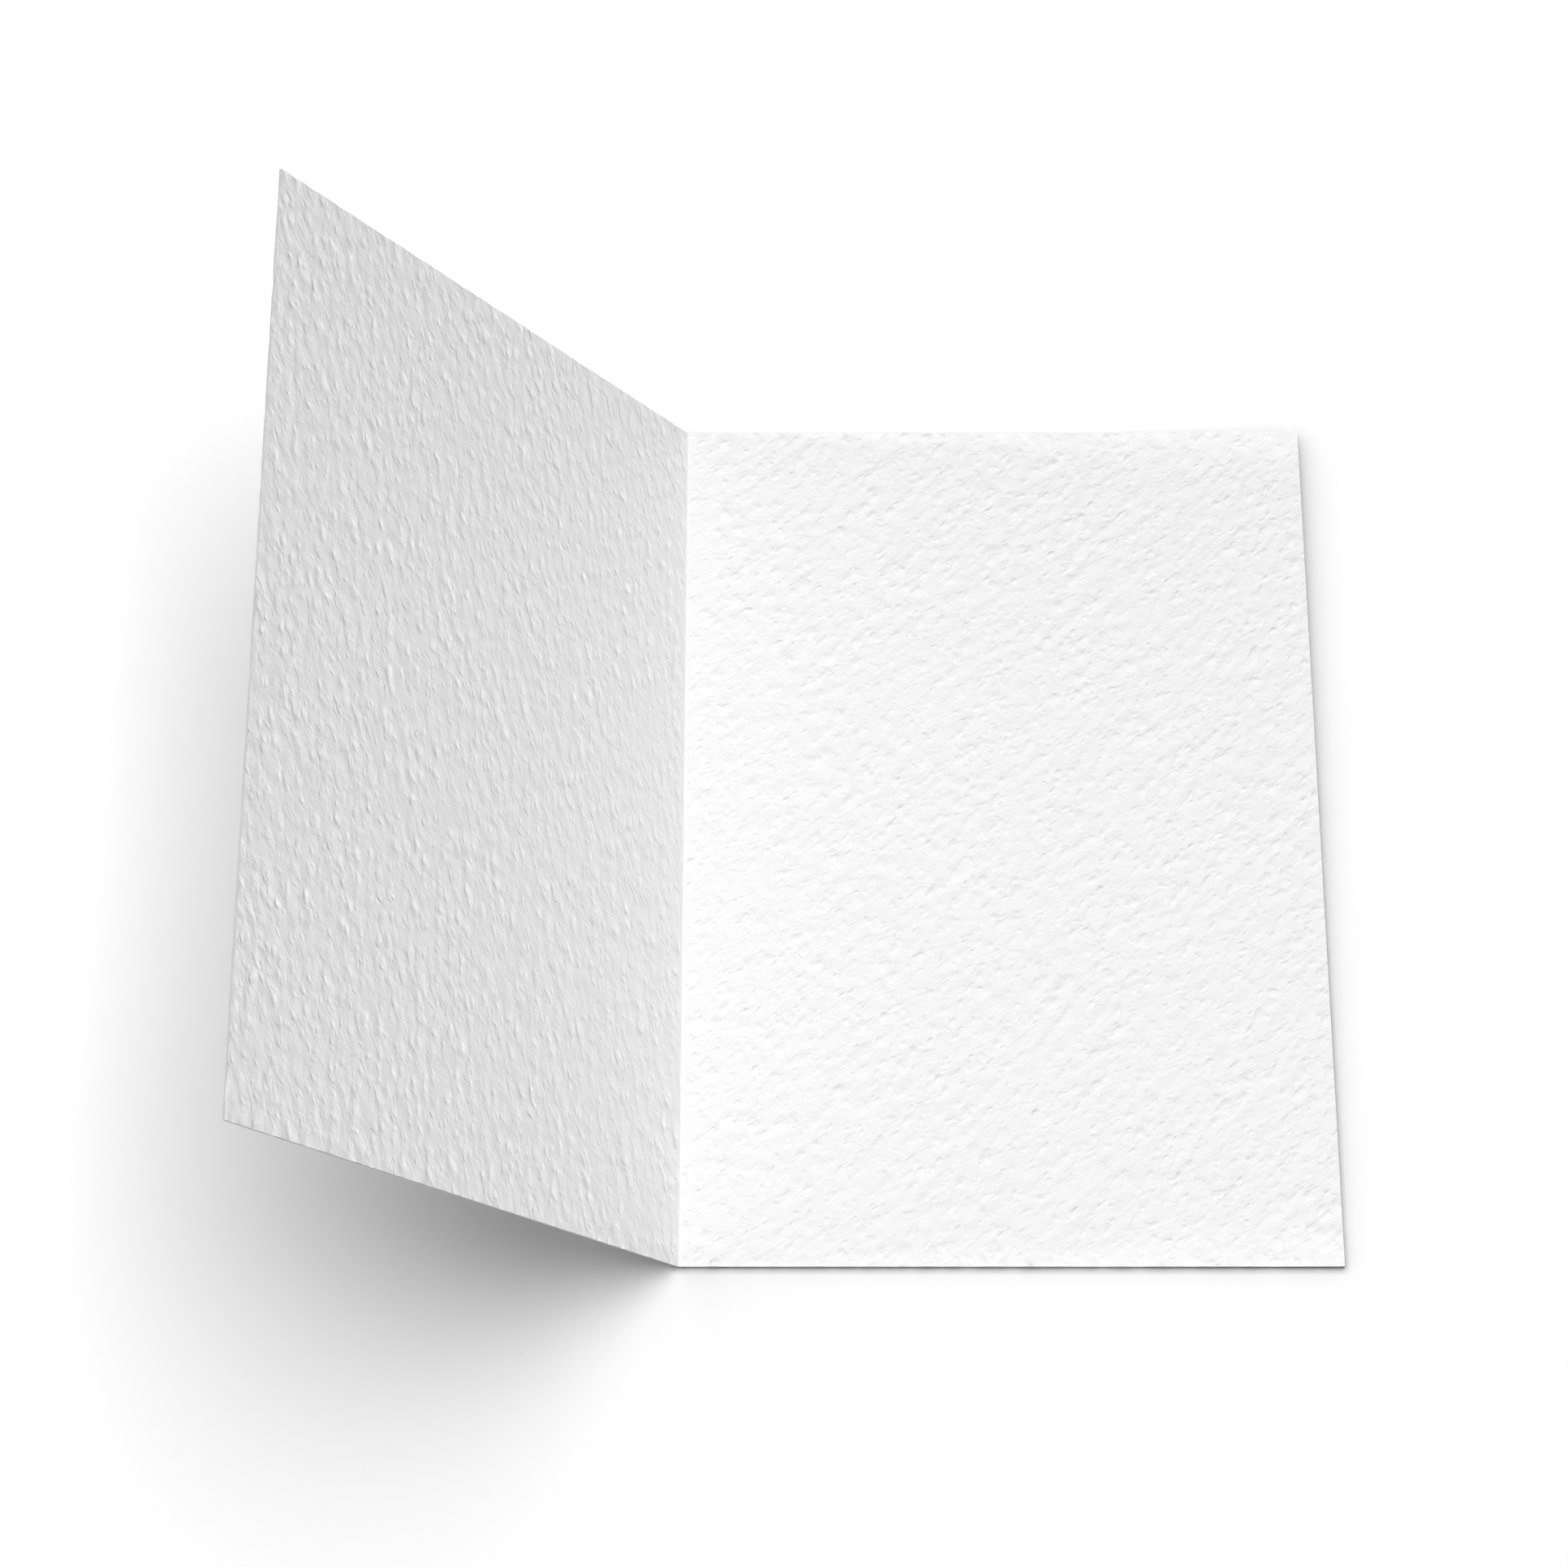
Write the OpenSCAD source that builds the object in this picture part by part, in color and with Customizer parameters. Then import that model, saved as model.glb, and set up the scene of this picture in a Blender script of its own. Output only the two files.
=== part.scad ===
// Folded card: one sheet of heavy textured card, scored once and folded.
// The back leaf lies on the table and the front leaf stands open beside it.
// Origin: middle of the flat underside of the back leaf, at table level.
// X runs from the fold to the free edge of the back leaf, Y along the fold, Z up.

/* [Sheet] */
// Width of one leaf, from the outside of the crease to its free edge
leaf_width = 114.3; // [90:0.1:220]
// Height of the card, measured along the fold
leaf_height = 158.75; // [60:0.05:320]
// Thickness of the card stock
caliper = 0.5; // [0.25:0.05:1.2]

/* [Fold] */
// Angle between the inner faces of the two leaves
opening_angle = 123.7; // [30:0.1:150]
// Radius of the crease on its inner side
crease_radius = 0.3; // [0.1:0.05:2]

/* [Free edge of the back leaf] */
// Width of the strip that curls up off the table towards the free edge
curl_width = 45; // [20:1:50]
// Radius of that curl on its underside
curl_radius = 1000; // [300:10:4000]

/* [Hidden] */
// Turn that the sheet makes at the crease
fold_turn = 180 - opening_angle;
// Radius of the crease on its outer side
crease_outer_radius = crease_radius + caliper;
// How far the crease reaches past the start of its bend, measured along a leaf
crease_nose = crease_outer_radius * tan(fold_turn / 2);
// Length of the front leaf beyond the bend of the crease
front_length = leaf_width - crease_nose;
// Length of the back leaf that lies flat, between the crease and the curl
rest_length = leaf_width - crease_nose - curl_width;
// Turn that the sheet makes over the curl
curl_turn = asin(curl_width / curl_radius);

// Largest angle and smallest length of one segment of an arc
$fa = 0.25;
$fs = 0.05;

// Section of a strip of the sheet bent about a line above it.
// It starts upright at x = 0, lying on y = 0, and turns upwards as it goes towards +x.
module bend_section(outer_radius, turn) {
    // The sector that bounds the bend reaches well past the sheet
    sector_radius = 2 * outer_radius;
    sector_steps = 4;
    sector_rim = [
        for (step = [0 : sector_steps])
            let (angle = turn * step / sector_steps)
                sector_radius * [sin(angle), -cos(angle)]
    ];
    translate([0, outer_radius])
        intersection() {
            difference() {
                circle(outer_radius);
                circle(outer_radius - caliper);
            }
            polygon(concat([[0, 0]], sector_rim));
        }
}

// Places its children at the end of a bend, in line with the sheet there
module after_bend(outer_radius, turn) {
    translate([0, outer_radius])
        rotate(turn)
            translate([0, -outer_radius])
                children();
}

// Section of the back leaf: flat from the start of the crease at x = 0, then curling up
module back_leaf_section() {
    square([rest_length, caliper]);
    translate([rest_length, 0])
        bend_section(curl_radius, curl_turn);
}

// Section of the crease and the front leaf, which leave the back leaf towards -x
module front_leaf_section() {
    mirror([1, 0]) {
        bend_section(crease_outer_radius, fold_turn);
        after_bend(crease_outer_radius, fold_turn)
            square([front_length, caliper]);
    }
}

module folded_card() {
    color("white")
        translate([-rest_length / 2, leaf_height / 2, 0])
            rotate([90, 0, 0])
                linear_extrude(leaf_height) {
                    back_leaf_section();
                    front_leaf_section();
                }
}

folded_card();
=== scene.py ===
# %% [markdown]
# # A folded card of felt-marked stock
#
# The object is one sheet of heavy white card, scored once down its middle and folded. Its back leaf lies
# on the table and its front leaf stands open beside it. The card is blank, so all that there is to look
# at is the stock itself: the soft pillows and small marks that a felt leaves in the wet sheet, the line
# of the fold and the cut edges. This lesson builds that sheet in Blender round a imported CAD model, which
# fixes its size and place.
#
# The first step is to load that model. It comes in at its real size in metres, and the lesson reads the
# card's height from its box.

# %% Load the frame
import math

import bmesh
import bpy
import numpy as np
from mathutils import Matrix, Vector


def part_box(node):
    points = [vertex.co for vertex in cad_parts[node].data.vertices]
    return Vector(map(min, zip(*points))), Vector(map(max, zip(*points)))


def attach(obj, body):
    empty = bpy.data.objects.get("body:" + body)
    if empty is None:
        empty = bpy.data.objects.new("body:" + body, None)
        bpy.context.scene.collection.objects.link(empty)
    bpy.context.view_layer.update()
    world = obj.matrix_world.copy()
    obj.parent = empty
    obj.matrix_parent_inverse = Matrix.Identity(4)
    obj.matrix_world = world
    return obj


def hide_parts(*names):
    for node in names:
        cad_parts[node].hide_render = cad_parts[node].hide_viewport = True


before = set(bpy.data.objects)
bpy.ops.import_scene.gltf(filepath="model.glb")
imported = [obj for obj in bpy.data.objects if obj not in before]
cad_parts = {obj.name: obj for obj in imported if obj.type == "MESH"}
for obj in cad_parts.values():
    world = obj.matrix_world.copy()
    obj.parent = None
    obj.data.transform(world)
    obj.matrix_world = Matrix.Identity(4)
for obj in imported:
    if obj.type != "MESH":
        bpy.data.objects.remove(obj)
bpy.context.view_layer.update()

MM = 0.001
print("CAD nodes:", sorted(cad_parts))

# %% [markdown]
# ## The section of the sheet
#
# Seen from its end, the card is a strip of one even thickness that bends twice: sharply at the crease,
# and very gently where the free edge of the back leaf curls off the table. A strip like that could be
# drawn as a curve and given a thickness by a modifier. Here it is worked out instead, because the felt's
# marks need to know how far along the flat sheet each point lies. One function bends a strip, and both
# bends use it.
#
# `run` is the distance along the inside of the sheet, from the start of the crease. It is positive on the
# back leaf and negative on the front leaf. `sunk` is the depth of a point below the inside of the sheet.

# %% Sizes of the sheet
leaf_width = 114.3 * MM
caliper = 0.5 * MM
opening_angle = math.radians(123.7)
crease_radius = 0.3 * MM
curl_width = 45 * MM
curl_radius = 1000 * MM

low_corner, high_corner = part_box("folded_card")
half_height = (high_corner.y - low_corner.y) / 2

fold_turn = math.pi - opening_angle
curl_turn = math.asin(curl_width / curl_radius)
front_length = leaf_width - (crease_radius + caliper) * math.tan(fold_turn / 2)
rest_length = front_length - curl_width
crease_arc = crease_radius * fold_turn
front_end = -crease_arc - front_length
back_end = rest_length + (curl_radius - caliper) * curl_turn
print(f"the flat sheet is {2 * leaf_width / MM:.1f} by {2 * half_height / MM:.2f} mm")


# %% Bend the strip
def bend(distance, radius, turn):
    """How far a strip gets along and up, and its turn, at a distance past the start of a bend."""
    angle = np.clip(distance / radius, 0, turn)
    straight = np.maximum(distance - radius * turn, 0)
    along = radius * np.sin(angle) + straight * np.cos(angle)
    up = radius * (1 - np.cos(angle)) + straight * np.sin(angle)
    return along, up, angle


def section(run, sunk):
    """Places (x, z) of points of the sheet, and the directions (x, z) that its inside faces there."""
    past_rest = np.maximum(run - rest_length, 0)
    curl_along, curl_up, curl_angle = bend(past_rest, curl_radius - caliper, curl_turn)
    fold_along, fold_up, fold_angle = bend(np.maximum(-run, 0), crease_radius, fold_turn)
    facing_x = np.sin(fold_angle) - np.sin(curl_angle)
    facing_z = np.cos(fold_angle + curl_angle)
    x = -rest_length / 2 + np.clip(run, 0, rest_length) + curl_along - fold_along - sunk * facing_x
    z = caliper + curl_up + fold_up - sunk * facing_z
    return x, z, facing_x, facing_z


edge_runs = np.array([front_end, front_end, back_end])
corner_x, corner_z, _, _ = section(edge_runs, np.array([0, caliper, caliper]))
print("free edges in mm, x:", np.round(corner_x / MM, 2), "z:", np.round(corner_z / MM, 2))

# %% [markdown]
# ## A net of vertices that follows the grain
#
# The felt's marks are longer than they are wide, and all those of a leaf lean one way, so the net of
# faces leans the same way: its cells are long along the grain and short across it. That shows the marks
# with fewer faces than a square net would need. A leaf is a row of columns, and each column is a line of
# vertices that runs up the card. The rows of neighbouring columns are shifted so that they line up along
# the grain.
#
# The two leaves differ. On the front leaf the marks are steep and sunk into the stock. On the back leaf
# they lie flatter and stand up from it, which a negative relief gives. The scored strip at the fold has
# no marks. Its first and last columns are those of the leaves, so they are left out.
#
# The inside of the card has the finest net. The outside of the front leaf is coarser, and the underside
# of the back leaf, which lies on the table, is the coarsest.

# %% The faces of the leaves
FRONT_FELT = {"grain": math.radians(-64), "stretch": 1.7, "relief": 1.1}
BACK_FELT = {"grain": math.radians(39), "stretch": 1.5, "relief": -1.07}
SCORED = {"grain": 0.0, "stretch": 1.0, "relief": 0.0}
FINE_CELL = (0.85 * MM, 0.6 * MM)
OUTSIDE_CELL = (1.5 * MM, 1.1 * MM)
UNDERSIDE_CELL = (2.4 * MM, 1.8 * MM)
CREASE_CELL = (0.06 * MM, 1.2 * MM)
ROWS_CLEAR_OF_END = 3


def leaf_columns(start, end, sunk, felt, cell, face):
    """The columns of one face of a leaf, from one run to another, with rows that line up along the grain.

    A row that comes closer to an end of the card than a third of a step is left out.
    """
    cell_along, cell_across = cell
    grain = felt["grain"]
    count = round(abs(end - start) / (cell_along * math.cos(grain)))
    step = cell_across / math.cos(grain)
    slope = math.tan(grain)
    columns = []
    for run in np.linspace(start, end, count + 1):
        first = -half_height + (slope * run + half_height) % step
        rows = np.arange(first, half_height, step)
        rows = rows[np.abs(rows) < half_height - step / ROWS_CLEAR_OF_END]
        y = np.concatenate([[-half_height], rows, [half_height]])
        columns.append({
            "run": np.full(len(y), run),
            "y": y,
            "sunk": np.full(len(y), sunk),
            "slant": y - slope * run,
            "felt": felt,
            "face": face,
        })
    return columns


inside = [
    *leaf_columns(front_end, -crease_arc, 0, FRONT_FELT, FINE_CELL, "front inside"),
    *leaf_columns(-crease_arc, 0, 0, SCORED, CREASE_CELL, "crease inside")[1:-1],
    *leaf_columns(0, back_end, 0, BACK_FELT, FINE_CELL, "back inside"),
]
outside = [
    *leaf_columns(back_end, 0, caliper, BACK_FELT, UNDERSIDE_CELL, "back outside"),
    *leaf_columns(0, -crease_arc, caliper, SCORED, CREASE_CELL, "crease outside")[1:-1],
    *leaf_columns(-crease_arc, front_end, caliper, FRONT_FELT, OUTSIDE_CELL, "front outside"),
]
print(len(inside), "columns inside,", len(outside), "columns outside")

# %% [markdown]
# ## Lace the columns into a closed sheet
#
# Two neighbouring columns are joined like the two sides of a zip: from the bottom up, whichever side's
# next vertex comes first is joined next, and where both come level they make a four-sided face. The
# columns go once round the section, along the inside and back along the outside, so the laced faces close
# round the sheet. The two ends of the card, where the guillotine cut it, are laced the same way between
# the inside and the outside.

# %% Number the vertices
columns = inside + outside
next_vertex = 0
for column in columns:
    column["vertices"] = list(range(next_vertex, next_vertex + len(column["y"])))
    next_vertex += len(column["y"])

sheet_run = np.concatenate([column["run"] for column in columns])
sheet_y = np.concatenate([column["y"] for column in columns])
sheet_sunk = np.concatenate([column["sunk"] for column in columns])
print(next_vertex, "vertices")


# %% Lace two lines of vertices
LEVEL = 0.001 * MM


def lace(first, second, first_places, second_places):
    """Faces between two lines of vertices, joined in the order of their places."""
    faces = []
    i = 0
    j = 0
    while i + 1 < len(first) or j + 1 < len(second):
        ahead_first = first_places[i + 1] if i + 1 < len(first) else math.inf
        ahead_second = second_places[j + 1] if j + 1 < len(second) else math.inf
        if abs(ahead_first - ahead_second) < LEVEL:
            faces.append((first[i], second[j], second[j + 1], first[i + 1]))
            i += 1
            j += 1
        elif ahead_first < ahead_second:
            faces.append((first[i], second[j], first[i + 1]))
            i += 1
        else:
            faces.append((first[i], second[j], second[j + 1]))
            j += 1
    return faces


# %% Join the columns and the two ends
leaf_faces = []
cut_faces = []
for column, following in zip(columns, columns[1:] + columns[:1]):
    same_face = column["face"] == following["face"]
    places = "slant" if same_face else "y"
    leaf_faces.extend(
        lace(column["vertices"], following["vertices"], list(column[places]), list(following[places])))

for end in (0, -1):
    rims = []
    for side in (inside, outside[::-1]):
        rims.append([column["vertices"][end] for column in side])
        rims.append([column["run"][end] for column in side])
    cut_faces.extend(lace(rims[0], rims[2], rims[1], rims[3]))
print(len(leaf_faces), "faces on the leaves,", len(cut_faces), "on the cut ends")

# %% [markdown]
# ## From columns to a mesh
#
# The section gives each vertex its place. A sheet of card is never quite true, so the curl of the free
# edge is higher at the far corner than at the near one, which widens the soft shade under that corner.
# The faces then go into a mesh, and Blender's own tool turns all of them to face outwards. The faces of
# the two cut ends get the second material.

# %% Make the mesh
CORNER_WARP = 0.8
PAPER_SLOT = 0
CUT_SLOT = 1
sheet_x, sheet_z, facing_x, facing_z = section(sheet_run, sheet_sunk)
_, curl_rise, _ = bend(np.maximum(sheet_run - rest_length, 0), curl_radius - caliper, curl_turn)
sheet_z = sheet_z + curl_rise * CORNER_WARP * sheet_y / half_height
outward = np.where(sheet_sunk > 0, -1, 1)
out_of_paper = np.stack([facing_x * outward, np.zeros_like(facing_x), facing_z * outward], axis=1)

card_mesh = bpy.data.meshes.new("folded_card_stock")
sheet_places = np.stack([sheet_x, sheet_y, sheet_z], axis=1)
card_mesh.from_pydata(sheet_places.tolist(), [], leaf_faces + cut_faces)
slot_of_face = [PAPER_SLOT] * len(leaf_faces) + [CUT_SLOT] * len(cut_faces)
card_mesh.polygons.foreach_set("material_index", slot_of_face)

net = bmesh.new()
net.from_mesh(card_mesh)
bmesh.ops.recalc_face_normals(net, faces=net.faces)
open_edges = sum(not edge.is_manifold for edge in net.edges)
net.to_mesh(card_mesh)
net.free()
card = bpy.data.objects.new("card_sheet", card_mesh)
bpy.context.scene.collection.objects.link(card)
card_mesh.calc_loop_triangles()
print(len(card_mesh.loop_triangles), "triangles,", open_edges, "open edges")

# %% [markdown]
# ## Where each point lies in the felt
#
# The marks have to be placed along and across the grain, which differs from leaf to leaf, so each vertex
# keeps its place in the felt as an attribute, in millimetres. The place is shortened along the grain, so
# that round marks come out long. A second attribute says how deep the felt has pressed: not at all along
# the scored fold, where the rule has flattened the stock, and fully a little way from it. A third holds
# the outside of the card down, because marks that stood up there would reach below the table, and a
# fourth is the direction out of the paper. Geometry Nodes and the material can both read attributes by
# name.

# %% Attributes of the felt
FLAT_AT_FOLD = 0.5 * MM
HIGHEST_INSIDE_MM = 1.0
FACE_SHIFTS_MM = {
    "front inside": 0,
    "back inside": 400,
    "back outside": 800,
    "front outside": 1200,
    "crease inside": 1600,
    "crease outside": 2000,
}


def for_vertices(value_of_column):
    """One value for each vertex of the sheet, from a function that gives each column's value."""
    return np.concatenate([np.full(len(column["y"]), value_of_column(column)) for column in columns])


grain = for_vertices(lambda column: column["felt"]["grain"])
stretch = for_vertices(lambda column: column["felt"]["stretch"])
relief = for_vertices(lambda column: column["felt"]["relief"])
face_shift = for_vertices(lambda column: FACE_SHIFTS_MM[column["face"]])
along = (np.cos(grain) * sheet_run + np.sin(grain) * sheet_y) / MM / stretch
across = (np.cos(grain) * sheet_y - np.sin(grain) * sheet_run) / MM
felt_place = np.stack([along + face_shift, across, np.zeros_like(along)], axis=1)
from_fold = np.where(sheet_run < 0, -crease_arc - sheet_run, sheet_run)
felt_depth = relief * np.clip(from_fold / FLAT_AT_FOLD, 0, 1)
felt_limit = np.where(sheet_sunk > 0, 0.0, HIGHEST_INSIDE_MM)


def keep_attribute(name, kind, field, values):
    """Stores one value for each vertex of the sheet under a name."""
    attribute = card_mesh.attributes.new(name, kind, "POINT")
    attribute.data.foreach_set(field, np.ascontiguousarray(values, dtype=np.float32).ravel())
    print("attribute", name, "on", len(attribute.data), "vertices")


keep_attribute("felt_place", "FLOAT_VECTOR", "vector", felt_place)
keep_attribute("felt_depth", "FLOAT", "value", felt_depth)
keep_attribute("felt_limit", "FLOAT", "value", felt_limit)
keep_attribute("out_of_paper", "FLOAT_VECTOR", "vector", out_of_paper)

# %% [markdown]
# ## One recipe for the felt
#
# The felt leaves three sizes of relief in the stock: soft pillows about two millimetres wide, small dents
# that lie along the grain, and fine wrinkles with the tooth of the fibres on top. A noise texture gives
# the pillows. For the dents, a Voronoi texture scatters points, and each point gets a dent of its own
# random size and depth. There are two scatters, a large and a small one, so that the dents don't look
# sorted. Another noise moves the places across the grain first, so that no dent is a plain oval.
#
# The same nodes exist in Geometry Nodes and in materials, so the recipe is a set of functions that write
# into either. The mesh gets the pillows and dents. The material's bump gets what is finer than the net:
# the wrinkles, the tooth and the crisp rims of the dents.


# %% Small helpers to write nodes
def add_node(tree, kind, inputs=None, **settings):
    """Adds a node, sets its options, and links or sets each input that is named."""
    node = tree.nodes.new(kind)
    for name, value in settings.items():
        setattr(node, name, value)
    for name, value in (inputs or {}).items():
        if isinstance(value, bpy.types.NodeSocket):
            tree.links.new(value, node.inputs[name])
        else:
            node.inputs[name].default_value = value
    return node


def math_node(tree, operation, first, second=0.0):
    """The result of a Math node."""
    return add_node(tree, "ShaderNodeMath", {0: first, 1: second}, operation=operation).outputs[0]


def vector_node(tree, operation, first, second=(0.0, 0.0, 0.0)):
    """The result of a Vector Math node."""
    return add_node(tree, "ShaderNodeVectorMath", {0: first, 1: second}, operation=operation).outputs[0]


def noise_node(tree, place, size_along, size_across, detail):
    """A noise from 0 to 1 with grains of a size in millimetres."""
    stretched = vector_node(tree, "MULTIPLY", place, (1 / size_along, 1 / size_across, 1.0))
    noise = add_node(tree, "ShaderNodeTexNoise", {"Vector": stretched, "Scale": 1.0, "Detail": detail},
                     noise_dimensions="2D")
    return noise.outputs[0]


def colour_mix(tree, factor, first, second):
    """The colour between two colours."""
    node = add_node(tree, "ShaderNodeMix", {"Factor": factor, "A": first, "B": second}, data_type="RGBA")
    return node.outputs["Result"]


# %% Values of the felt
WAVER = {"size_mm": 2.2, "height_mm": 1.7, "detail": 2.0}
PILLOWS = {"size_mm": 1.9, "height_mm": 0.28, "detail": 0.0}
WRINKLES = {"size_mm": 0.8, "height_mm": 0.09, "detail": 2.0}
TOOTH = {"size_mm": 0.32, "height_mm": 0.03, "detail": 1.0}
DENTS = {
    "large": {
        "spacing_mm": 2.0, "reach_mm": 1.1, "depth_mm": 0.17, "edge_mm": 0.11, "shift": (0.0, 0.0, 0.0),
    },
    "small": {
        "spacing_mm": 1.2, "reach_mm": 0.7, "depth_mm": 0.07, "edge_mm": 0.1, "shift": (17.3, 41.9, 0.0),
    },
}
DENT_SIZES = (0.6, 1.2)
DENT_SHALLOWNESS = 2.0
NOISE_MIDDLE = 0.5
for dent_name, dent in DENTS.items():
    print(dent_name, "dents:", dent["spacing_mm"], "mm apart, at most", dent["depth_mm"], "mm deep")


# %% Scattered dents
def hills(tree, place, size_mm, height_mm, detail):
    """A noise that rises and falls about zero by half its height in millimetres."""
    noise = noise_node(tree, place, size_mm, size_mm, detail)
    return math_node(tree, "MULTIPLY", math_node(tree, "SUBTRACT", noise, NOISE_MIDDLE), height_mm)


def bent_place(tree, place):
    """The place in the felt, moved a little across the grain by a larger noise."""
    moved = add_node(tree, "ShaderNodeCombineXYZ", {1: hills(tree, place, **WAVER)})
    return vector_node(tree, "ADD", place, moved.outputs[0])


def dents(tree, place, spacing_mm, reach_mm, shift):
    """The share of its full depth that the nearest dent has here, from 0 to 1."""
    points = add_node(tree, "ShaderNodeTexVoronoi",
                      {"Vector": vector_node(tree, "ADD", place, shift), "Scale": 1 / spacing_mm},
                      voronoi_dimensions="2D", feature="F1")
    chance = add_node(tree, "ShaderNodeSeparateXYZ", {0: points.outputs["Color"]})
    smallest, largest = [size * reach_mm / spacing_mm for size in DENT_SIZES]
    reach = add_node(tree, "ShaderNodeMapRange",
                     {"Value": chance.outputs[1], "To Min": smallest, "To Max": largest}).outputs[0]
    groove = add_node(tree, "ShaderNodeMapRange",
                      {"Value": points.outputs["Distance"], "From Min": 0.0, "From Max": reach,
                       "To Min": 1.0, "To Max": 0.0}, interpolation_type="SMOOTHSTEP").outputs[0]
    depth_share = math_node(tree, "POWER", chance.outputs[0], DENT_SHALLOWNESS)
    return math_node(tree, "MULTIPLY", groove, depth_share)


def all_dents(tree, place, depth_name):
    """The depth of all the dents in millimetres, as the mesh or the bump needs it."""
    total = 0.0
    for dent in DENTS.values():
        share = dents(tree, place, dent["spacing_mm"], dent["reach_mm"], dent["shift"])
        total = math_node(tree, "ADD", math_node(tree, "MULTIPLY", share, dent[depth_name]), total)
    return total


# %% Heights for the mesh and for the bump
def felt_height(tree, place):
    """The height of the pillows and dents in millimetres."""
    bent = bent_place(tree, place)
    return math_node(tree, "SUBTRACT", hills(tree, bent, **PILLOWS), all_dents(tree, bent, "depth_mm"))


def wrinkle_height(tree, place):
    """The height of the finer wrinkles and of the dents' crisp edges in millimetres."""
    bent = bent_place(tree, place)
    rough = math_node(tree, "ADD", hills(tree, bent, **WRINKLES), hills(tree, place, **TOOTH))
    return math_node(tree, "SUBTRACT", rough, all_dents(tree, bent, "edge_mm"))


# %% [markdown]
# ## Press the felt into the sheet
#
# The pillows and dents are real relief, so they go into the mesh: a Geometry Nodes tree moves each vertex
# along the direction that its side of the paper faces. A Displace modifier could do it as well, but it
# would need an image or an old-style texture. The modifier is applied, and the sheet keeps the relief as
# its own shape.

# %% Geometry Nodes for the relief
press = bpy.data.node_groups.new("press_felt", "GeometryNodeTree")
press.interface.new_socket("Geometry", in_out="INPUT", socket_type="NodeSocketGeometry")
press.interface.new_socket("Geometry", in_out="OUTPUT", socket_type="NodeSocketGeometry")


def named_attribute(name, data_type):
    """A stored attribute, read by its name in Geometry Nodes."""
    node = add_node(press, "GeometryNodeInputNamedAttribute", {"Name": name}, data_type=data_type)
    return node.outputs["Attribute"]


height_mm = math_node(press, "MULTIPLY", felt_height(press, named_attribute("felt_place", "FLOAT_VECTOR")),
                      named_attribute("felt_depth", "FLOAT"))
limited_mm = math_node(press, "MINIMUM", height_mm, named_attribute("felt_limit", "FLOAT"))
height = math_node(press, "MULTIPLY", limited_mm, MM)
offset = add_node(press, "ShaderNodeVectorMath",
                  {0: named_attribute("out_of_paper", "FLOAT_VECTOR"), "Scale": height}, operation="SCALE")
set_place = add_node(press, "GeometryNodeSetPosition",
                     {"Geometry": add_node(press, "NodeGroupInput").outputs[0], "Offset": offset.outputs[0]})
add_node(press, "NodeGroupOutput", {0: set_place.outputs[0]})
print("the relief takes", len(press.nodes), "nodes")

# %% Apply the relief
felt_modifier = card.modifiers.new("press_felt", "NODES")
felt_modifier.node_group = press
pressed = bpy.data.meshes.new_from_object(card.evaluated_get(bpy.context.evaluated_depsgraph_get()))
card.modifiers.remove(felt_modifier)
card.data = pressed
pressed.name = "folded_card_felted"

moved = np.zeros(len(pressed.vertices) * 3, np.float32)
flat = np.zeros_like(moved)
pressed.vertices.foreach_get("co", moved)
card_mesh.vertices.foreach_get("co", flat)
heights = ((moved - flat).reshape(-1, 3) * out_of_paper).sum(axis=1) / MM
print(f"relief from {heights.min():.3f} to {heights.max():.3f} mm, rms {heights.std():.3f} mm")

# %% Smooth faces with sharp cut edges
SHARP_EDGE = math.radians(60)
pressed.polygons.foreach_set("use_smooth", [True] * len(pressed.polygons))
pressed.set_sharp_from_angle(angle=SHARP_EDGE)
print(sum(line.use_edge_sharp for line in pressed.edges), "sharp edges round the cuts")

# %% [markdown]
# ## A flat layout for baked maps
#
# When the model is exported, its material is baked into pictures, and each face needs a place in them. A
# card has an easy layout: the inside and the outside are unrolled into two rectangles, one above the
# other, and the cut edges become narrow strips beside them. An automatic unwrap would work too, but with
# many small islands.

# %% Unroll the sheet
LAYOUT_SCALE = 3.05
LAYOUT_GAP = 0.005
OUTSIDE_FROM = 0.5
FREE_EDGES_FROM = 0.72
ENDS_FROM = 0.76
STRIP_STEP = 0.015

corner_vertex = np.zeros(len(pressed.loops), np.int32)
pressed.loops.foreach_get("vertex_index", corner_vertex)
corners_of_face = np.zeros(len(pressed.polygons), np.int32)
pressed.polygons.foreach_get("loop_total", corners_of_face)
slot_of_pressed = np.zeros(len(pressed.polygons), np.int32)
pressed.polygons.foreach_get("material_index", slot_of_pressed)
face_of_corner = np.repeat(np.arange(len(pressed.polygons)), corners_of_face)
outside_share = np.bincount(face_of_corner, sheet_sunk[corner_vertex] > 0) / corners_of_face

# %% Place every face corner
along_sheet = (sheet_run[corner_vertex] - front_end) * LAYOUT_SCALE + LAYOUT_GAP
up_sheet = (sheet_y[corner_vertex] + half_height) * LAYOUT_SCALE + LAYOUT_GAP
through_sheet = sheet_sunk[corner_vertex] * LAYOUT_SCALE
on_outside = (outside_share == 1)[face_of_corner]
on_free_edge = (outside_share % 1 > 0)[face_of_corner]
on_end = (slot_of_pressed == CUT_SLOT)[face_of_corner]
free_edge_start = FREE_EDGES_FROM + STRIP_STEP * (sheet_run[corner_vertex] > 0)
end_start = ENDS_FROM + STRIP_STEP * (sheet_y[corner_vertex] > 0)
layout_u = np.where(on_end, end_start + through_sheet,
                    np.where(on_free_edge, free_edge_start + through_sheet, along_sheet))
layout_v = np.where(on_end, along_sheet, up_sheet + OUTSIDE_FROM * (on_outside & ~on_end))
bake_layout = pressed.uv_layers.new(name="OFBake")
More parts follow.
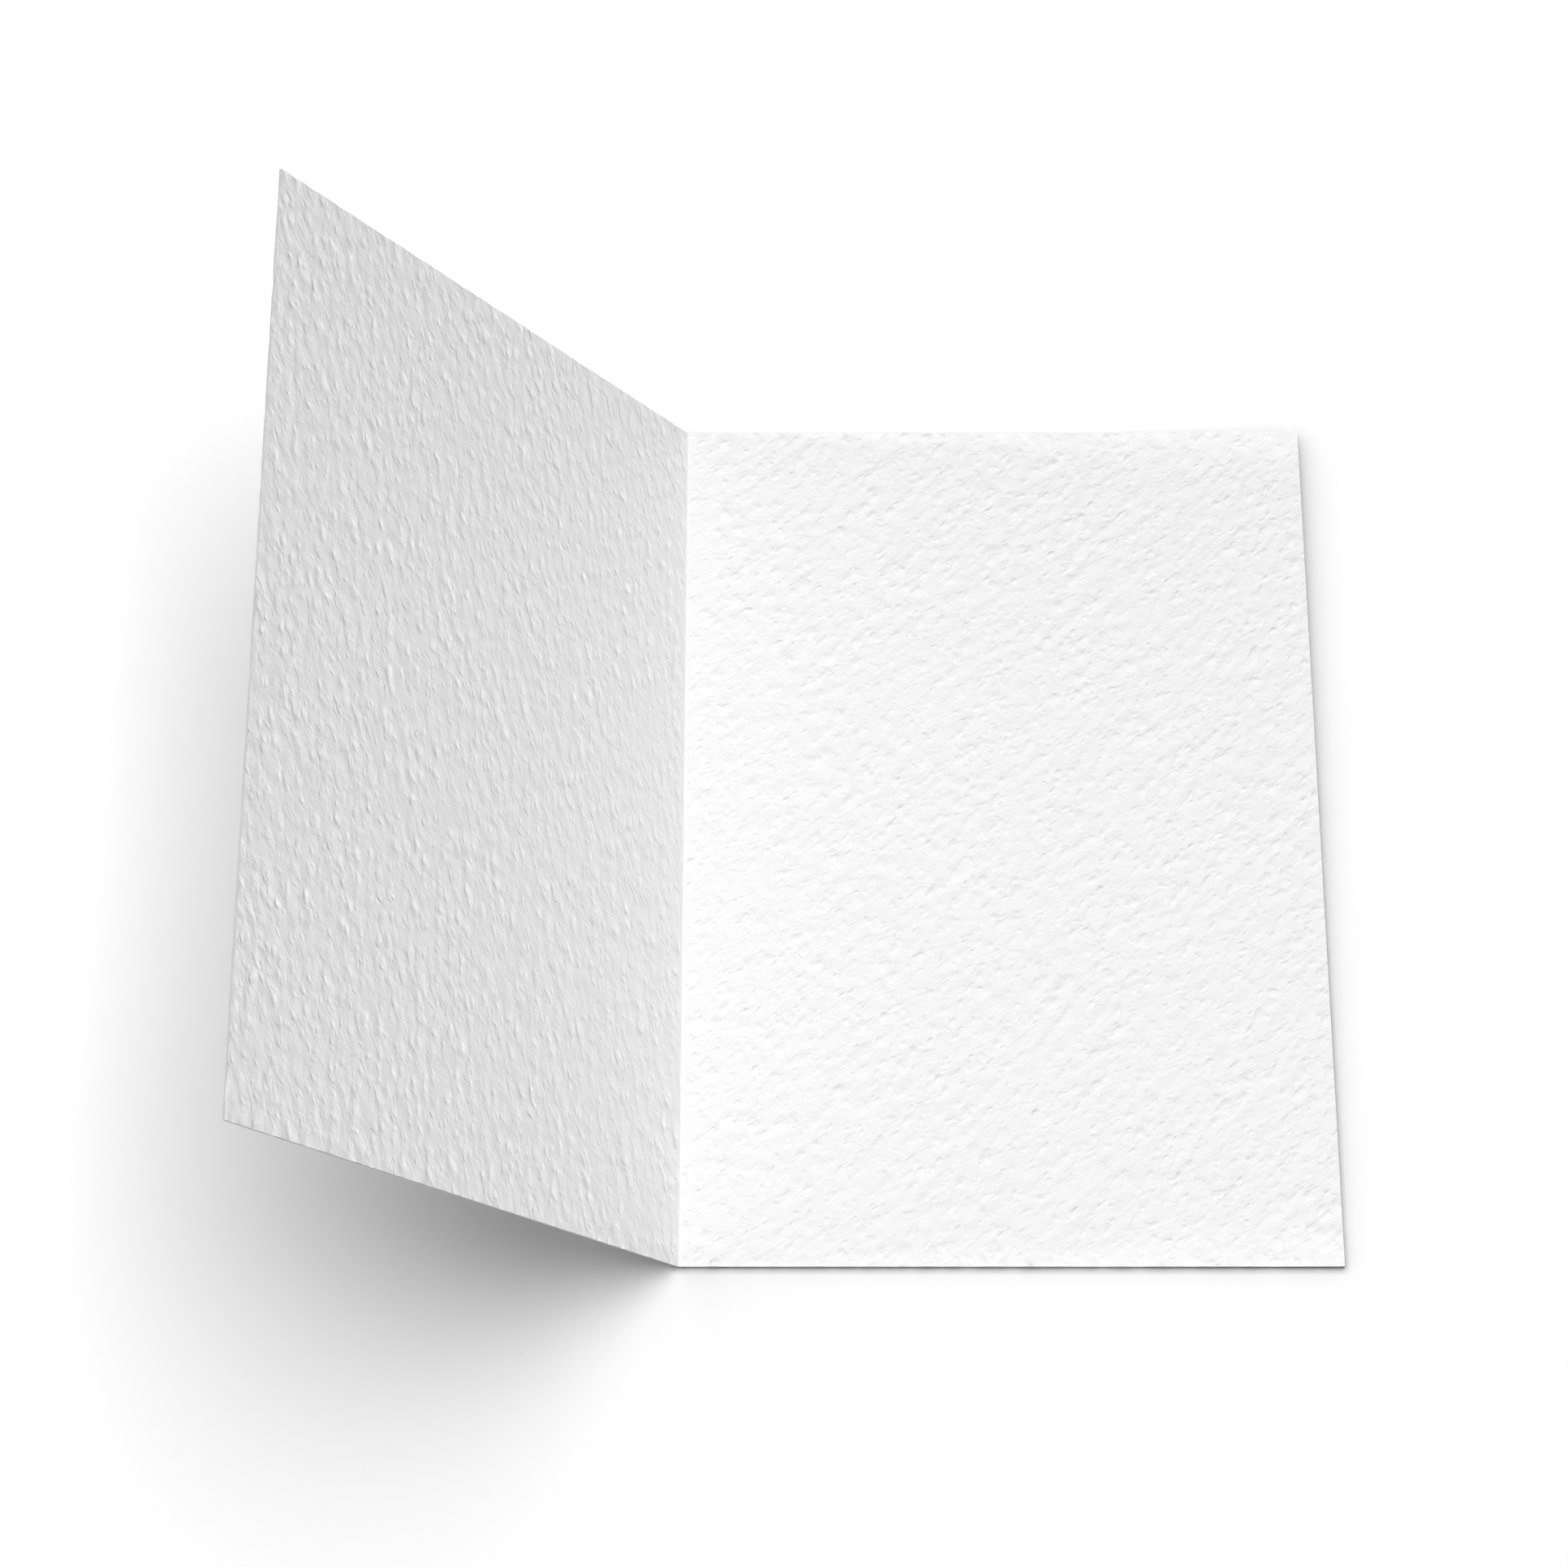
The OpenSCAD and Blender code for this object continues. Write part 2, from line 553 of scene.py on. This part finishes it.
bake_layout.data.foreach_set("uv", np.stack([layout_u, layout_v], axis=1).astype(np.float32).ravel())
print(f"layout across from {layout_u.min():.3f} to {layout_u.max():.3f}")
print(f"layout up from {layout_v.min():.3f} to {layout_v.max():.3f}")

# %% [markdown]
# ## The card stock
#
# Uncoated card is a matte white mat of fibres. It scatters light almost evenly, so the Principled shader
# gets a high roughness and little shine. Four things keep it from looking like plastic: the wrinkles and
# the tooth in the bump, a faint cloudiness where the fibres lie thicker, and a few groups of tiny grey
# flecks. The flecks use the scattered dents again, once for the groups and once for the single flecks,
# and show where both have a dent.
#
# The two ends, where the guillotine cut across the fibres, are greyer than the faces. Part of that grey is
# the cut fibres' own duller tone, and part is painted shade, which darkens the thin line along the card's
# front edge.


# %% Start a material
PAPER_ROUGHNESS = 0.9
PAPER_SHINE = 0.2


def new_material(name, roughness, shine):
    """A material with a Principled shader of a roughness and a shine, its tree and that shader."""
    material = bpy.data.materials.new(name)
    material.use_nodes = True
    shader = material.node_tree.nodes["Principled BSDF"]
    shader.inputs["Roughness"].default_value = roughness
    shader.inputs["Specular IOR Level"].default_value = shine
    print("material", name, "of roughness", roughness)
    return material, material.node_tree, shader


paper, paper_tree, paper_shader = new_material("felt_marked_stock", PAPER_ROUGHNESS, PAPER_SHINE)
pressed.materials.append(paper)

# %% Wrinkles, tooth and rims
place = add_node(paper_tree, "ShaderNodeAttribute", attribute_name="felt_place").outputs["Vector"]
depth = add_node(paper_tree, "ShaderNodeAttribute", attribute_name="felt_depth").outputs["Fac"]
wrinkles = math_node(paper_tree, "MULTIPLY", wrinkle_height(paper_tree, place), depth)
bump = add_node(paper_tree, "ShaderNodeBump", {"Height": wrinkles, "Distance": MM, "Strength": 1.0})
paper_tree.links.new(bump.outputs[0], paper_shader.inputs["Normal"])
print("the bump takes", len(paper_tree.nodes), "nodes")

# %% Clouds and flecks
PAPER_WHITE = (0.9, 0.9, 0.9, 1.0)
PAPER_CLOUD = (0.88, 0.88, 0.88, 1.0)
CLOUD_MM = (11.0, 7.0)
CLOUD_DETAIL = 2.0
FLECK_GREY = (0.55, 0.55, 0.55, 1.0)
FLECK_GROUPS = {"spacing_mm": 24.0, "reach_mm": 1.5, "shift": (5.1, 8.6, 0.0)}
SINGLE_FLECKS = {"spacing_mm": 0.55, "reach_mm": 0.14, "shift": (2.7, 3.9, 0.0)}
FULL_FLECK = 0.15

cloud = noise_node(paper_tree, place, *CLOUD_MM, CLOUD_DETAIL)
clouded = colour_mix(paper_tree, cloud, PAPER_WHITE, PAPER_CLOUD)
both = math_node(paper_tree, "MULTIPLY", dents(paper_tree, place, **FLECK_GROUPS),
                 dents(paper_tree, place, **SINGLE_FLECKS))
fleck = add_node(paper_tree, "ShaderNodeMapRange", {"Value": both, "From Max": FULL_FLECK})
flecked = colour_mix(paper_tree, fleck.outputs[0], clouded, FLECK_GREY)
paper_tree.links.new(flecked, paper_shader.inputs["Base Color"])
print("flecks in groups about", FLECK_GROUPS["spacing_mm"], "mm apart")

# %% Cut ends
# The ends' grey is partly the cut fibres' own tone and partly painted shade for the dark line along the
# front edge.
CUT_SHADE_GREY = (0.6, 0.6, 0.6, 1.0)
CUT_FIBRE_SHADE_GREY = (0.5, 0.5, 0.5, 1.0)
CUT_FIBRE_MM = 0.4
CUT_FIBRE_DETAIL = 2.0
CUT_ROUGHNESS = 0.95
CUT_SHINE = 0.1

edge, edge_tree, edge_shader = new_material("cut_end_of_stock", CUT_ROUGHNESS, CUT_SHINE)
edge_place = add_node(edge_tree, "ShaderNodeAttribute", attribute_name="felt_place").outputs["Vector"]
fibres = noise_node(edge_tree, edge_place, CUT_FIBRE_MM, CUT_FIBRE_MM, CUT_FIBRE_DETAIL)
cut = colour_mix(edge_tree, fibres, CUT_SHADE_GREY, CUT_FIBRE_SHADE_GREY)
edge_tree.links.new(cut, edge_shader.inputs["Base Color"])
pressed.materials.append(edge)
print("fibres of", CUT_FIBRE_MM, "mm on the cut ends")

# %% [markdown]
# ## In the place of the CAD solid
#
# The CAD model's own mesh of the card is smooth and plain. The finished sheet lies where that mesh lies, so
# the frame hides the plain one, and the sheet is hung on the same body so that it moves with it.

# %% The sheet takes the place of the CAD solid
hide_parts("folded_card")
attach(card, "root")
print(card.name, "stands for folded_card")

# %% [markdown]
# ## The table
#
# The card lies on a plain white surface that fades into a white background. To the camera the table is
# white. To the light that bounces off it, it is a darker grey, so that the shade under the standing leaf
# stays deep. Far from the card the table glows white, because softboxes can't light it evenly as far as
# the horizon.
#
# Close by, the card keeps light off the table: there is a dark line along its front edge, a soft band beside
# its lifted edge, and a deep shade under the standing leaf. The real lamps cast part of that shade, and the
# rest is painted shade in the table's colour. The Ambient Occlusion node measures how much of the
# surroundings is hidden within a reach, and the table's white is darkened by that much. Its normal leans to
# the back here, and to the left as well for the soft band, as if soft light came from there. So the painted
# shade darkens the table in front of the card and beside its lifted edge, and not behind it.

# %% Table top
FLOOR_SIZE = 8.0
half_floor = FLOOR_SIZE / 2
floor_corners = [(-half_floor, -half_floor, 0), (half_floor, -half_floor, 0), (half_floor, half_floor, 0),
                 (-half_floor, half_floor, 0)]
floor_mesh = bpy.data.meshes.new("table_top")
floor_mesh.from_pydata(floor_corners, [], [(0, 1, 2, 3)])
floor = bpy.data.objects.new("table_top", floor_mesh)
bpy.context.scene.collection.objects.link(floor)

table, table_tree, table_shader = new_material("white_table", roughness=1.0, shine=0.0)
floor_mesh.materials.append(table)
print("a table of", FLOOR_SIZE, "m")


# %% Shade close to the card
SHADES = {
    "contact": {"reach": 1.3 * MM, "azimuth": 75, "tilt": 50, "darkest": 1.0},
    "closest": {"reach": 1.1 * MM, "azimuth": 75, "tilt": 50, "darkest": 1.0},
    "overhang": {"reach": 88 * MM, "azimuth": 60, "tilt": 30, "darkest": 0.5},
    "beside": {"reach": 16 * MM, "azimuth": 150, "tilt": 50, "darkest": 0.46},
}
SHADE_SAMPLES = 1


def near_shade(tree, reach, azimuth, tilt, darkest):
    """How white the table's colour stays, as painted shade where the card hides a soft light that comes from
    a direction.
    """
    turn = math.radians(azimuth)
    lean = math.radians(tilt)
    towards = add_node(tree, "ShaderNodeCombineXYZ", {
        0: math.sin(lean) * math.cos(turn), 1: math.sin(lean) * math.sin(turn), 2: math.cos(lean)})
    sky = add_node(tree, "ShaderNodeAmbientOcclusion", {"Distance": reach, "Normal": towards.outputs[0]},
                   samples=SHADE_SAMPLES)
    whiteness = add_node(tree, "ShaderNodeMapRange", {"Value": sky.outputs["AO"], "To Min": 1 - darkest})
    return whiteness.outputs[0]


table_shade = 1.0
for shade in SHADES.values():
    table_shade = math_node(table_tree, "MULTIPLY", near_shade(table_tree, **shade), table_shade)
print(len(SHADES), "shades on the table")

# %% White for the camera
PURE_WHITE = (1.0, 1.0, 1.0, 1.0)
FLOOR_BOUNCE = (0.2, 0.2, 0.2, 1.0)
BLACK = (0.0, 0.0, 0.0, 1.0)
GLOW_FROM = 0.35
GLOW_BY = 0.8


def seen_directly(tree):
    """1 for rays that come from the camera, a mirror or glass, and 0 for light that bounces."""
    path = add_node(tree, "ShaderNodeLightPath")
    first = math_node(tree, "MAXIMUM", path.outputs["Is Camera Ray"], path.outputs["Is Glossy Ray"])
    return math_node(tree, "MAXIMUM", first, path.outputs["Is Transmission Ray"])


from_card = add_node(table_tree, "ShaderNodeVectorMath",
                     {0: add_node(table_tree, "ShaderNodeTexCoord").outputs["Object"]}, operation="LENGTH")
far = add_node(table_tree, "ShaderNodeMapRange",
               {"Value": from_card.outputs["Value"], "From Min": GLOW_FROM, "From Max": GLOW_BY},
               interpolation_type="SMOOTHSTEP").outputs[0]
direct = seen_directly(table_tree)
# The near shades are painted into the table's white colour here.
shaded_white = colour_mix(table_tree, table_shade, BLACK, PURE_WHITE)
table_colour = colour_mix(table_tree, far, colour_mix(table_tree, direct, FLOOR_BOUNCE, shaded_white), BLACK)
table_tree.links.new(table_colour, table_shader.inputs["Base Color"])
table_shader.inputs["Emission Color"].default_value = PURE_WHITE
glow = math_node(table_tree, "MULTIPLY", far, direct)
table_tree.links.new(glow, table_shader.inputs["Emission Strength"])
print("the table's material takes", len(table_tree.nodes), "nodes")

# %% [markdown]
# ## The room
#
# A white room surrounds the card. Seen directly it is pure white. As a light it is weak, because the
# softboxes do most of the lighting.

# %% World
FILL_LIGHT = 0.2
world = bpy.data.worlds.new("white_room")
bpy.context.scene.world = world
world.use_nodes = True
room = world.node_tree
background = room.nodes["Background"]
background.inputs["Color"].default_value = PURE_WHITE
strength = add_node(room, "ShaderNodeMapRange",
                    {"Value": seen_directly(room), "To Min": FILL_LIGHT, "To Max": 1.0})
room.links.new(strength.outputs[0], background.inputs["Strength"])
print("the room lights the card at", FILL_LIGHT)

# %% [markdown]
# ## The softboxes
#
# Relief on white paper shows only in light that comes from one side, so the card has one large key lamp
# in front of it, a little to the right. The shadow on the table falls forwards and to the left, though,
# so the table needs its light from above, behind and the right. A studio would use flags and screens for
# that. Blender has light linking: each lamp names the objects that it lights. A low lamp on the left
# reaches only the outside of the standing leaf, which the key lamp leaves dark.

# %% Lamps
LAMP_DISTANCE = 4.0
LAMPS = {
    "front_softbox": {"azimuth": -75, "elevation": 58, "size": 2.4, "watts": 158, "lights": card},
    "overhead_softbox": {"azimuth": 85, "elevation": 76, "size": 3.7, "watts": 148, "lights": floor},
    "right_softbox": {"azimuth": -10, "elevation": 55, "size": 2.4, "watts": 14, "lights": floor},
    "left_softbox": {"azimuth": 180, "elevation": 15, "size": 0.8, "watts": 120, "lights": card},
}


def softbox(name, azimuth, elevation, size, watts, lights):
    """A round area lamp that looks at the middle of the card from a direction and lights one object."""
    turn = math.radians(azimuth)
    rise = math.radians(elevation)
    towards = Vector((math.cos(rise) * math.cos(turn), math.cos(rise) * math.sin(turn), math.sin(rise)))
    light = bpy.data.lights.new(name, "AREA")
    light.shape = "DISK"
    light.size = size
    light.energy = watts
    lamp = bpy.data.objects.new(name, light)
    lamp.location = towards * LAMP_DISTANCE
    lamp.rotation_euler = towards.to_track_quat("Z", "Y").to_euler()
    lamp.visible_camera = False
    lamp.light_linking.receiver_collection = bpy.data.collections.new(name + "_lights")
    lamp.light_linking.receiver_collection.objects.link(lights)
    bpy.context.scene.collection.objects.link(lamp)
    print(name, "lights", lights.name, "with", watts, "W")


for lamp_name, lamp_values in LAMPS.items():
    softbox(lamp_name, **lamp_values)

# %% [markdown]
# ## The camera
#
# The camera was fitted to the six corners of the card. It has a lens of about 79 mm and looks down at 69
# degrees. The view transform is Standard, so that white card in full light comes out white.

# %% Camera
CAMERA_LENS_MM = 78.93
CAMERA_SENSOR_MM = 36.0
CAMERA_TILT = math.radians(69.14)
CAMERA_DISTANCE = 620.3 * MM
CAMERA_TARGET = Vector((-16.56 * MM, 9.18 * MM, 0.0))

camera_data = bpy.data.cameras.new("photo_camera")
camera_data.lens = CAMERA_LENS_MM
camera_data.sensor_width = CAMERA_SENSOR_MM
camera = bpy.data.objects.new("photo_camera", camera_data)
from_target = Vector((0, -math.cos(CAMERA_TILT), math.sin(CAMERA_TILT)))
camera.location = CAMERA_TARGET + CAMERA_DISTANCE * from_target
camera.rotation_euler = (math.pi / 2 - CAMERA_TILT, 0.0, 0.0)
bpy.context.scene.collection.objects.link(camera)
bpy.context.scene.camera = camera
bpy.context.scene.view_settings.view_transform = "Standard"
print("camera", [round(value, 3) for value in camera.location])
